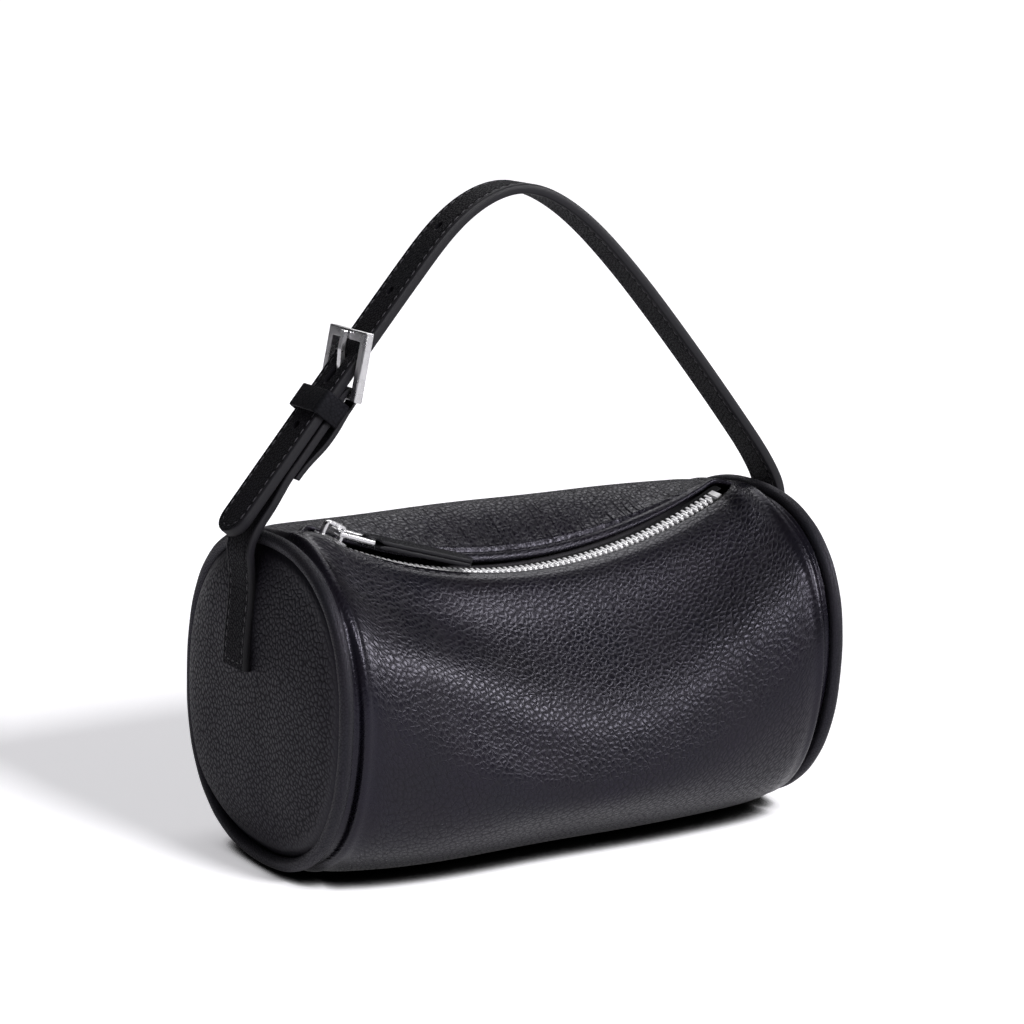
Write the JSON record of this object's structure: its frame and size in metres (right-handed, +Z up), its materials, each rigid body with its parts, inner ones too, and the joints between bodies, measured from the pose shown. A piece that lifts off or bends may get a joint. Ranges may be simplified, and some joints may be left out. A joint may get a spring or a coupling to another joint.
{
  "type": "barrel bag",
  "caption": "Small barrel-shaped leather handbag with piped rounded ends, a sagging zip along the top with slider and leather pull tab, and an arched strap handle with a buckle.",
  "frame": {"origin": "On the floor, under the middle of the bag's length, on the flat base.", "axes": "+X runs along the bag away from the buckled end, -Y is the front, +Z is up."},
  "size_m": [0.2311, 0.1276, 0.237],
  "materials": {
    "grained_leather": "black pebble-grained leather, soft satin sheen",
    "smooth_leather": "black smooth leather, satin",
    "strap_leather": "black fine-grained leather with painted edges",
    "lining_cloth": "dark plain-woven lining, matte",
    "zip_tape": "black woven zip tape, matte",
    "stiffener": "dark fibre board, matte",
    "zip_metal": "silver-coloured zip metal, lightly brushed",
    "polished_metal": "silver-coloured plated metal, polished"
  },
  "bodies": {
    "bag": {"body_wrap": "grained_leather", "left_end_panel": "grained_leather", "right_end_panel": "grained_leather", "left_piping": "smooth_leather", "right_piping": "smooth_leather", "lining_wrap": "lining_cloth", "left_end_lining": "lining_cloth", "right_end_lining": "lining_cloth", "slip_pocket": "lining_cloth", "base_board": "stiffener", "front_zip_tape": "zip_tape", "rear_zip_tape": "zip_tape", "front_zip_teeth": "zip_metal", "rear_zip_teeth": "zip_metal", "zip_top_stops": "zip_metal", "zip_bottom_stop": "zip_metal", "short_strap_sewn_end": "strap_leather", "long_strap_sewn_end": "strap_leather", "short_strap_bend": "strap_leather", "long_strap_bend": "strap_leather"},
    "handle": {"long_strap_face": "strap_leather", "long_strap_backing": "strap_leather", "short_strap": "strap_leather"},
    "buckle": {"buckle_frame": "polished_metal"},
    "prong": {"buckle_prong": "polished_metal"},
    "keeper": {"strap_keeper": "strap_leather"},
    "slider": {"zip_slider": "polished_metal"},
    "puller": {"pull_link": "polished_metal"},
    "tab": {"pull_tab": "smooth_leather"}
  },
  "joints": [
    {"name": "zip_run", "type": "hinge", "parent": "bag", "child": "slider", "pos_m": [0, -0.0085, 0.2832], "axis": [0, -1, 0], "range_deg": [0, 50], "deforming": ["front_zip_tape", "rear_zip_tape", "front_zip_teeth", "rear_zip_teeth"]},
    {"name": "puller_swing", "type": "hinge", "parent": "slider", "child": "puller", "pos_m": [-0.07608, -0.00908, 0.12063], "axis": [-0.0452, -0.9945, -0.0942], "range_deg": [0, 70]},
    {"name": "tab_swing", "type": "hinge", "parent": "puller", "child": "tab", "pos_m": [-0.0641, -0.00923, 0.11642], "axis": [-0.0452, -0.9945, -0.0942], "range_deg": [0, 45]},
    {"name": "handle_swing", "type": "hinge", "parent": "bag", "child": "handle", "pos_m": [0, 0.006, 0.12], "axis": [1, 0, 0], "range_deg": [-40, 40], "stiffness_Nm_per_rad": 0.1, "deforming": ["long_strap_bend", "short_strap_bend"]},
    {"name": "buckle_tilt", "type": "hinge", "parent": "handle", "child": "buckle", "pos_m": [-0.06656, 0.006, 0.16641], "axis": [0, -1, 0], "range_deg": [0, 10]},
    {"name": "prong_lift", "type": "hinge", "parent": "buckle", "child": "prong", "pos_m": [-0.06656, 0.006, 0.16641], "axis": [0, -1, 0], "range_deg": [0, 8]},
    {"name": "keeper_slide", "type": "slide", "parent": "handle", "child": "keeper", "axis": [-0.6428, 0, -0.766], "range_m": [0, 0.008]}
  ]
}
